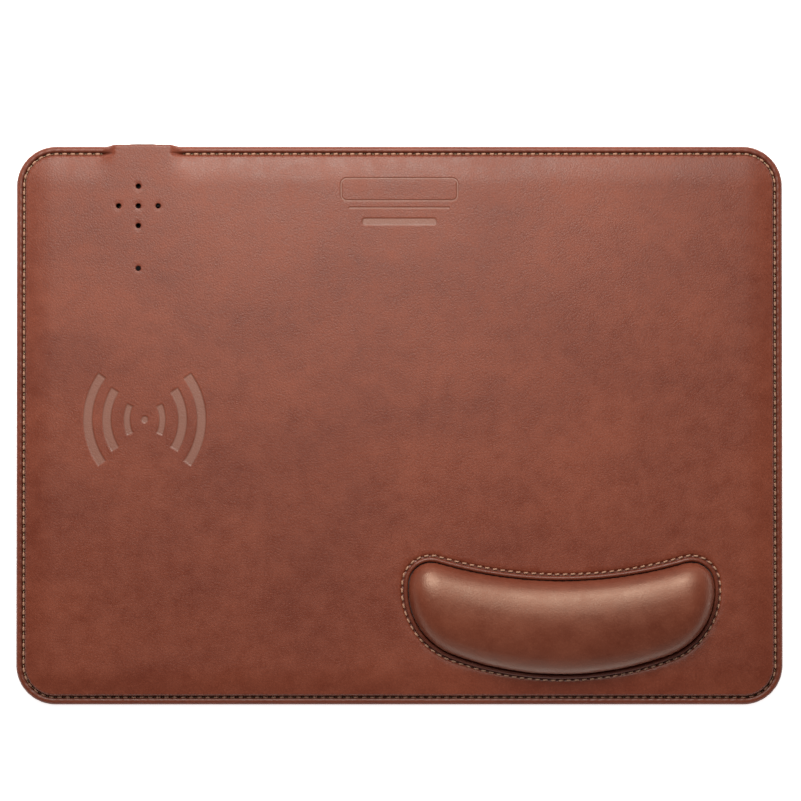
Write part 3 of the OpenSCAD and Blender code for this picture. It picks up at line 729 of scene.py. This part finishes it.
# ---- thread ----
def thread_stitch(length, width, height, dive):
    """One run of three-ply thread along X, with both ends bent down into their needle holes."""
    rings, sides = 13, 12
    plies, groove, twist = 3, 0.13, 2.6
    points = []
    for t in np.linspace(0, 1, rings):
        along = 2 * t - 1
        x = length / 2 * math.sin(along * math.pi / 2)
        z = height * (1 - along ** 2) - dive * along ** 4
        taper = 1 - 0.35 * abs(along) ** 4
        for k in range(sides):
            a = 2 * math.pi * k / sides
            ply = 1 + groove * math.cos(plies * (a + twist * t * math.pi))
            points.append((x, width / 2 * taper * ply * math.cos(a),
                           z + height * 0.5 * taper * ply * math.sin(a)))
    faces = [tuple(reversed(f)) for f in strip_faces(rings, sides)]
    faces += [tuple(range(sides)), tuple(reversed(range((rings - 1) * sides, rings * sides)))]
    return np.array(points), faces


def sew(name, node, places, headings, stitch, z, slant, material):
    """Copies of one stitch along a path, each turned a little off it, as one piece."""
    shape, shape_faces = stitch
    points, faces = [], []
    for i, (place, heading) in enumerate(zip(places, headings)):
        turn = heading + slant * (1 + 0.25 * math.sin(i * 2.3))
        c, s = math.cos(turn), math.sin(turn)
        turned = shape @ np.array([[c, s, 0], [-s, c, 0], [0, 0, 1]])
        faces += [tuple(v + i * len(shape) for v in f) for f in shape_faces]
        points.append(turned + [place[0], place[1], z])
    piece = mesh_piece(name, np.concatenate(points), faces, material)
    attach(piece, "root")
    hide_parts(node)


def edge_stitching(material):
    """Thread round the rim, except along the port's stretch of edge."""
    origin, normal, _ = edge_columns(2)
    origin, normal = origin[1::2], normal[1::2]
    places = origin + normal * (CORNER - SEAM_IN)
    headings = np.arctan2(normal[:, 1], normal[:, 0]) + math.pi / 2
    clear = PORT_HALF + PORT_RAMP
    shown = (normal[:, 1] < 0.999) | (np.abs(places[:, 0] - PORT[0]) > clear)
    stitch = thread_stitch(0.62 * STITCH_PITCH, EDGE_THREAD, 0.42, 0.7)
    sew("edge_thread", "perimeter_stitching", places[shown], headings[shown], stitch, GROOVE_Z - 0.2,
        math.radians(5), material)


def wrist_stitching(material):
    """Thread in the channel round the wrist rest."""
    count = round(wrist_length(WRIST_STITCH_OUT) / WRIST_STITCH_PITCH)
    places, headings = wrist_path(WRIST_STITCH_OUT, count)
    stitch = thread_stitch(0.62 * WRIST_STITCH_PITCH, WRIST_THREAD, 0.38, 0.6)
    sew("wrist_thread", "wrist_stitching", places, headings, stitch, CHANNEL_Z + 0.02,
        math.radians(8), material)


# ---- wrist rest ----
# the cushion's buried part: distance in from the outline, and height
SEAM_ROWS = ((0.6, foam_low[2]), (0.6, 4.4), (0.6, 6.2), (0.4, 6.8), (0.0, 7.4))
# the dome above it: its foot's height and overhang, its rings, how near its spine they stop, its shape
DOME_FOOT = 7.9
DOME_OUT = 0.12
DOME_RINGS = 14
DOME_REACH = 0.93
DOME_POWER = 2.4
# the simulated swelling: held fast below this height, and the most that a point moves
SWELL_FROM = 7.0
SWELL_MOST = 0.8
VOXEL = 1.7


def wrist_bead(material):
    """Leather piping round the cushion, gathered a little between its stitches, flatter below."""
    around, sides = 420, 14
    centre, headings = wrist_path(BEAD_OUT, around)
    out = np.stack([np.sin(headings), -np.cos(headings)], 1)
    gather = 1 + 0.03 * np.sin(np.arange(around) * 0.9) * np.sin(np.arange(around) * 0.37)
    points = []
    for k in range(sides):
        a = 2 * math.pi * k / sides
        r = BEAD_R * gather * (1 if math.sin(a) > -0.5 else 0.92)
        points.append(np.column_stack([centre + out * (r * math.cos(a))[:, None],
                                       CHANNEL_Z + BEAD_R + r * math.sin(a)]))
    faces = [tuple(v % (sides * around) for v in f) for f in strip_faces(sides + 1, around)]
    piece = mesh_piece("wrist_bead", np.concatenate(points), faces, material)
    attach(piece, "root")
    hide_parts("wrist_piping")


def spine_points(points):
    """The nearest places on the curve along the middle of the cushion."""
    radius = (BACK_R + FRONT_R) / 2
    centre = WRIST + [0, WAIST / 2 + radius]
    reach = math.asin((LOBE_X - 4) / radius)
    off = points - centre
    angle = np.clip(np.arctan2(off[:, 1], off[:, 0]) + math.pi / 2, -reach, reach) - math.pi / 2
    return centre + radius * np.stack([np.cos(angle), np.sin(angle)], 1)


def cushion_rings():
    """Rings from the cushion's buried foot up over its dome, with a seam that pulls it in."""
    count = 200
    edge, headings = wrist_path(0, count)
    spine = spine_points(edge)
    inward = np.stack([-np.sin(headings), np.cos(headings)], 1)
    rings = [np.column_stack([edge + inward * d, np.full(count, z)]) for d, z in SEAM_ROWS]
    edge = edge - inward * DOME_OUT
    for f in np.append(0, DOME_REACH * (np.arange(1, DOME_RINGS + 1) / DOME_RINGS) ** 1.7):
        rise = (1 - (1 - f) ** DOME_POWER) ** (1 / DOME_POWER)
        z = DOME_FOOT + (CREST - DOME_FOOT) * rise
        rings.append(np.column_stack([edge + (spine - edge) * f, np.full(count, z)]))
    return rings


def cushion_mesh():
    """Points and faces of the closed cushion before it swells."""
    rings = cushion_rings()
    count = len(rings[0])
    points = np.concatenate(rings)
    faces = strip_faces(len(rings), count)
    for ring, up in ((0, False), (len(rings) - 1, True)):
        flat = rings[ring][:, :2]
        places, tri, source = triangulate(flat, [list(range(count))])
        keep = inside(flat, places[tri].mean(axis=1))
        for t in tri[keep]:
            face = tuple(source[v] + ring * count for v in t)
            faces.append(face if up else face[::-1])
    return points, faces


def apply_modifier(piece, modifier):
    """Makes a modifier's result the piece's own mesh."""
    bpy.context.view_layer.objects.active = piece
    with bpy.context.temp_override(object=piece, active_object=piece, selected_objects=[piece]):
        bpy.ops.object.modifier_apply(modifier=modifier.name)


def coordinates(mesh):
    """A mesh's points, in metres."""
    flat = np.empty(len(mesh.vertices) * 3)
    mesh.vertices.foreach_get("co", flat)
    return flat.reshape(-1, 3)


def inflate(piece):
    """Swells the leather over its foam by cloth pressure."""
    rest = coordinates(piece.data)
    held = piece.vertex_groups.new(name="held")
    held.add([i for i, p in enumerate(rest) if p[2] < SWELL_FROM * MM], 1.0, "REPLACE")
    cloth = piece.modifiers.new("pressure", "CLOTH")
    settings = cloth.settings
    settings.quality = 6
    settings.mass = 0.2
    settings.tension_stiffness = 25
    settings.compression_stiffness = 25
    settings.bending_stiffness = 4
    settings.use_pressure = True
    settings.uniform_pressure_force = 4
    settings.vertex_group_mass = held.name
    settings.effector_weights.gravity = 0
    for step in range(1, 21):
        bpy.context.scene.frame_set(step)
    apply_modifier(piece, cloth)
    moved = coordinates(piece.data) - rest
    far = np.linalg.norm(moved, axis=1, keepdims=True)
    moved *= np.minimum(1, SWELL_MOST * MM / np.maximum(far, 1e-9))
    piece.data.vertices.foreach_set("co", (rest + moved).ravel())
    piece.vertex_groups.clear()
    bpy.context.scene.frame_set(1)


def wrist_cushion(material):
    """The padded wrist rest: an even mesh, swollen by simulation, refined, and drawn in at its seam."""
    points, faces = cushion_mesh()
    piece = mesh_piece("wrist_cushion", points, faces, material)
    remesh = piece.modifiers.new("even", "REMESH")
    remesh.mode = "VOXEL"
    remesh.voxel_size = VOXEL * MM
    apply_modifier(piece, remesh)
    relax = piece.modifiers.new("relax", "SMOOTH")
    relax.factor = 0.5
    relax.iterations = 2
    apply_modifier(piece, relax)
    inflate(piece)
    finer = piece.modifiers.new("finer", "SUBSURF")
    finer.levels = 1
    apply_modifier(piece, finer)
    pucker(piece)
    piece.data.shade_smooth()
    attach(piece, "root")
    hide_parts("wrist_cover", "wrist_foam")


def pucker(piece):
    """Short gathers where the cover is drawn into its seam, one for each stitch."""
    places = coordinates(piece.data)
    count, lowest, highest, fade = 900, 6.4, 13, 1.6
    edge, headings = wrist_path(0, count)
    gathers = round(wrist_length(0) / WRIST_STITCH_PITCH)
    near_seam = (places[:, 2] > lowest * MM) & (places[:, 2] < highest * MM)
    rows = np.flatnonzero(near_seam)
    flat = places[rows, :2] / MM
    nearest = np.argmin(((flat[:, None] - edge[None]) ** 2).sum(axis=2), axis=1)
    gap = np.linalg.norm(flat - edge[nearest], axis=1)
    wave = np.cos(2 * math.pi * nearest / count * gathers) + 0.5 * np.sin(nearest * 0.11)
    inward = np.stack([-np.sin(headings), np.cos(headings)], 1)[nearest]
    depth = 0.07 * wave * np.exp(-gap / fade)
    places[rows, :2] += inward * depth[:, None] * MM
    piece.data.vertices.foreach_set("co", places.ravel())


# ---- materials ----
def shader(name, roughness, **sockets):
    """A material with a Principled shader, and its tree."""
    material = bpy.data.materials.new(name)
    material.use_nodes = True
    body = material.node_tree.nodes["Principled BSDF"]
    body.inputs["Roughness"].default_value = roughness
    for socket, value in sockets.items():
        body.inputs[socket.replace("_", " ")].default_value = value
    return material, material.node_tree, body


def add(tree, kind, links=(), **values):
    """A node with its properties and inputs set, and its inputs linked."""
    node = tree.nodes.new(kind)
    for key, value in values.items():
        if hasattr(node, key):
            setattr(node, key, value)
        else:
            node.inputs[key.replace("_", " ")].default_value = value
    for socket, source in dict(links).items():
        tree.links.new(source, node.inputs[socket])
    return node


def place(tree, stretch=(1, 1, 1)):
    """The object's own coordinates in metres, stretched along its axes."""
    where = add(tree, "ShaderNodeTexCoord").outputs["Object"]
    scaled = add(tree, "ShaderNodeVectorMath", {0: where}, operation="MULTIPLY")
    scaled.inputs[1].default_value = stretch
    return scaled.outputs[0]


def noise(tree, where, fineness, detail=3.0, roughness=0.55):
    """Cloudy noise, with so many waves to the metre."""
    made = add(tree, "ShaderNodeTexNoise", {"Vector": where},
               Scale=fineness, Detail=detail, Roughness=roughness)
    return made.outputs["Fac"]


def cells(tree, where, fineness, feature):
    """Distances in a pattern of cells, with so many cells to the metre."""
    made = add(tree, "ShaderNodeTexVoronoi", {"Vector": where}, feature=feature, Scale=fineness)
    return made.outputs["Distance"]


def spread(tree, value, low, high, to_low=0.0, to_high=1.0):
    """A value carried from one range to another, and kept within it."""
    made = add(tree, "ShaderNodeMapRange", {"Value": value}, From_Min=low, From_Max=high,
               To_Min=to_low, To_Max=to_high)
    return made.outputs[0]


def blend(tree, share, a, b, kind="MIX"):
    """A colour between two, each a colour or another node's output."""
    made = tree.nodes.new("ShaderNodeMix")
    made.data_type = "RGBA"
    made.blend_type = kind
    for socket, value in ((made.inputs[0], share), (made.inputs[6], a), (made.inputs[7], b)):
        if isinstance(value, bpy.types.NodeSocket):
            tree.links.new(value, socket)
        elif isinstance(value, (int, float)):
            socket.default_value = value
        else:
            socket.default_value = (*value, 1)
    return made.outputs[2]


def total(tree, *values):
    """The sum of (output, weight) pairs."""
    out = None
    for value, weight in values:
        made = add(tree, "ShaderNodeMath", {0: value}, operation="MULTIPLY")
        made.inputs[1].default_value = weight
        if out is None:
            out = made.outputs[0]
        else:
            out = add(tree, "ShaderNodeMath", {0: out, 1: made.outputs[0]}, operation="ADD").outputs[0]
    return out


def bump(tree, body, height, distance, strength=1.0):
    """Relief on a shader, its full height given in metres."""
    made = add(tree, "ShaderNodeBump", {"Height": height}, Distance=distance, Strength=strength)
    tree.links.new(made.outputs[0], body.inputs["Normal"])


def tinted(colour, factor):
    """A lighter or darker colour."""
    return tuple(min(1.0, c * factor) for c in colour)


LEATHER = (0.243, 0.057, 0.028)
LEATHER_DARK = (0.160, 0.032, 0.0155)
LEATHER_LIGHT = (0.305, 0.083, 0.044)
LEATHER_PRESSED = (0.27, 0.135, 0.105)


def leather(name, marked=False, tint=1.0, roughness=0.44, grain=1.0, gloss=0.45, warmth=0.0):
    """Mottled, fine-grained leather with creases between its pebbles, painted darker as painted shade.

    A marked one has pressed places and places darkened with painted shade, and warmth tints its gloss.
    """
    material, tree, body = shader(name, roughness, Specular_IOR_Level=gloss,
                                  Specular_Tint=(1, 1 - 0.3 * warmth, 1 - 0.5 * warmth, 1))
    where = place(tree)
    broad = noise(tree, place(tree, (0.7, 1.3, 1)), 24, 3)
    cloud = noise(tree, where, 130, 4)
    pores = noise(tree, where, 1000, 3, 0.7)
    pebbles = cells(tree, where, 1250, "SMOOTH_F1")
    crease = cells(tree, where, 850, "DISTANCE_TO_EDGE")
    mottle = total(tree, (broad, 0.55), (cloud, 0.35), (pores, 0.25))
    shade = blend(tree, spread(tree, mottle, 0.42, 0.72), tinted(LEATHER_DARK, tint), tinted(LEATHER, tint))
    shade = blend(tree, spread(tree, pores, 0.58, 0.85, 0.0, 0.6), shade, tinted(LEATHER_LIGHT, tint))
    # painted shade: the creases between the pebbles are darkened
    between = spread(tree, crease, 0.0, 0.12, 0.3 * grain, 0.0)
    shade = blend(tree, between, shade, tinted(LEATHER_DARK, tint * 0.6))
    if marked:
        pressed = add(tree, "ShaderNodeAttribute", attribute_name="pressed").outputs["Fac"]
        shade = blend(tree, total(tree, (pressed, 0.7)), shade, LEATHER_PRESSED)
        # painted shade read from the mesh: seam groove, needle holes, pinholes, the tuck under the bead and
        # the feet of pressed walls
        dirt = add(tree, "ShaderNodeAttribute", attribute_name="dirt").outputs["Fac"]
        shade = blend(tree, total(tree, (dirt, 0.9)), shade, tinted(LEATHER_DARK, 0.3))
    tree.links.new(shade, body.inputs["Base Color"])
    tree.links.new(spread(tree, total(tree, (cloud, 0.6), (pores, 0.4)), 0.35, 0.7,
                          roughness - 0.07, roughness + 0.1), body.inputs["Roughness"])
    relief = total(tree, (pebbles, -0.5), (spread(tree, crease, 0, 0.16), 0.35), (pores, 0.5))
    bump(tree, body, relief, 0.00009 * grain, 0.8)
    return material


def thread(name, colour):
    """Waxed sewing thread: fine fibres along it, and darker patches at random."""
    material, tree, body = shader(name, 0.5, Specular_IOR_Level=0.35)
    where = place(tree)
    fibre = noise(tree, where, 4200, 3, 0.7)
    dirt = noise(tree, where, 330, 2)
    shade = blend(tree, spread(tree, fibre, 0.35, 0.7), tinted(colour, 0.72), tinted(colour, 1.15))
    shade = blend(tree, spread(tree, dirt, 0.35, 0.75, 0.0, 0.35), shade, tinted(colour, 0.5))
    tree.links.new(shade, body.inputs["Base Color"])
    tree.links.new(spread(tree, fibre, 0.3, 0.7, 0.42, 0.6), body.inputs["Roughness"])
    bump(tree, body, fibre, 0.00006)
    return material


FINISHES = {
    # class: (roughness, metallic, grain scale, stretch, bump depth, colour spread)
    "rubber": (0.78, 0.0, 1500, (1, 1, 1), 0.00010, 0.35),
    "wood": (0.82, 0.0, 700, (1, 6, 6), 0.00008, 0.35),
    "fabric": (0.92, 0.0, 1900, (1, 1, 1), 0.00020, 0.30),
    "matte_plastic": (0.55, 0.0, 2600, (1, 1, 1), 0.00003, 0.25),
    "gloss_plastic": (0.28, 0.0, 1200, (1, 1, 1), 0.00001, 0.20),
    "brushed_steel": (0.30, 1.0, 900, (1, 12, 1), 0.00001, 0.18),
    "brass": (0.26, 1.0, 1400, (1, 1, 1), 0.00001, 0.22),
    "ceramic": (0.45, 0.0, 1700, (1, 1, 1), 0.00002, 0.28),
    "paper": (0.70, 0.0, 1100, (1, 3, 1), 0.00003, 0.20),
    "leather": (0.50, 0.0, 950, (1, 1, 1), 0.00015, 0.35),
}


# nodes that can be seen down the pinholes, darkened with painted shade
IN_PINHOLES = ("light_pipe", "main_pcb", "controller_chip", "passive_chips", "power_inductor",
               "power_transistors")


def hard_finish(entry, in_painted_shade):
    """A worn, grained material for a CAD node; where it lies deep under a pinhole its colour is darkened to
    a quarter as painted shade, and it is dulled.
    """
    rough, metallic, size, stretch, depth, vary = FINISHES[entry["class"]]
    # painted shade on the parts seen down the pinholes
    colour = tinted(entry["base_color"], 0.25 if in_painted_shade else 1.0)
    material, tree, body = shader("finish_" + entry["slot"], rough, Metallic=metallic,
                                  Specular_IOR_Level=0.05 if in_painted_shade else 0.5)
    where = place(tree, stretch)
    fine = noise(tree, where, size, 4, 0.65)
    worn = noise(tree, place(tree), 90, 3)
    shade = blend(tree, spread(tree, fine, 0.3, 0.7), tinted(colour, 1 - vary), tinted(colour, 1 + vary))
    shade = blend(tree, spread(tree, worn, 0.55, 0.8, 0.0, 0.3), shade, tinted(colour, 1.5))
    tree.links.new(shade, body.inputs["Base Color"])
    tree.links.new(spread(tree, total(tree, (fine, 0.5), (worn, 0.5)), 0.35, 0.65,
                          max(0.05, rough - 0.1), min(1.0, rough + 0.12)), body.inputs["Roughness"])
    bump(tree, body, fine, depth)
    return material


def finish_cad_nodes():
    """Gives every CAD node its own worn material."""
    by_slot = {entry["slot"]: entry for entry in frame["record"]["materials"]}
    for name, piece in frame["nodes"].items():
        made = hard_finish(by_slot[name], name in IN_PINHOLES)
        for k in range(len(piece.material_slots)):
            piece.material_slots[k].material = made


# ---- room, lights and camera ----
def floor():
    """A wide, pale painted floor that glows a little, so that it reads as white."""
    material, tree, body = shader("floor_paint", 0.8, Emission_Color=(1, 1, 1, 1), Emission_Strength=0.85)
    where = place(tree)
    shade = blend(tree, noise(tree, where, 9, 2), (0.90, 0.90, 0.905), (0.93, 0.93, 0.93))
    tree.links.new(shade, body.inputs["Base Color"])
    half = 3000
    piece = mesh_piece("floor", [(-half, -half, 0), (half, -half, 0), (half, half, 0), (-half, half, 0)],
                       [(0, 1, 2, 3)], material)


def soft_light(name, at, size, power, colour=(1, 1, 1)):
    """A round lamp aimed at the middle of the pad."""
    lamp = bpy.data.lights.new(name, "AREA")
    lamp.shape = "DISK"
    lamp.size = size
    lamp.energy = power
    lamp.color = colour
    light = bpy.data.objects.new(name, lamp)
    light.location = at
    light.rotation_euler = (-Vector(at)).to_track_quat("-Z", "Y").to_euler()
    bpy.context.scene.collection.objects.link(light)


WALL_GLOW = 0.62
CEILING_GLOW = 0.08


def studio():
    """A large key light behind the pad, a weak one in front, and pale walls under a dim ceiling."""
    soft_light("key", (-0.06, 0.40, 0.60), 0.5, 6.9, (1, 0.93, 0.84))
    soft_light("front_fill", (0.05, -0.75, 0.3), 0.4, 0.3)
    world = bpy.data.worlds.new("studio")
    world.use_nodes = True
    tree = world.node_tree
    sky = tree.nodes["Background"]
    sky.inputs["Color"].default_value = (1, 1, 1, 1)
    heading = add(tree, "ShaderNodeTexCoord").outputs["Generated"]
    up = add(tree, "ShaderNodeSeparateXYZ", {"Vector": heading}).outputs["Z"]
    tree.links.new(spread(tree, up, 0.08, 0.4, WALL_GLOW, CEILING_GLOW), sky.inputs["Strength"])
    bpy.context.scene.world = world
    bpy.context.scene.view_settings.view_transform = "Standard"


def camera():
    """A camera almost straight overhead, far enough away to draw the edges nearly square on."""
    lens = bpy.data.cameras.new("camera")
    lens.sensor_width = 36
    lens.lens = lens.sensor_width * VIEW_DISTANCE / VIEW_WIDTH
    lens.clip_start = 0.01
    eye = bpy.data.objects.new("camera", lens)
    back = Vector((0, -math.cos(VIEW_ELEVATION), math.sin(VIEW_ELEVATION)))
    eye.location = VIEW_CENTRE + back * VIEW_DISTANCE
    eye.rotation_euler = (-back).to_track_quat("-Z", "Y").to_euler()
    bpy.context.scene.collection.objects.link(eye)
    bpy.context.scene.camera = eye


def main():
    camera()
    studio()
    floor()
    finish_cad_nodes()
    top_leather(leather("pad_leather", marked=True))
    sewing = thread("sewing_thread", (0.50, 0.28, 0.19))
    edge_stitching(sewing)
    wrist_stitching(sewing)
    # the bead's leather is a darker copy of the pad's: painted shade
    wrist_bead(leather("bead_leather", tint=0.76, roughness=0.4, grain=0.6))
    # the cushion's leather is a darker copy of the pad's: painted shade
    wrist_cushion(leather("cushion_leather", tint=0.82, roughness=0.42, grain=0.5, gloss=0.95, warmth=0.75))


main()
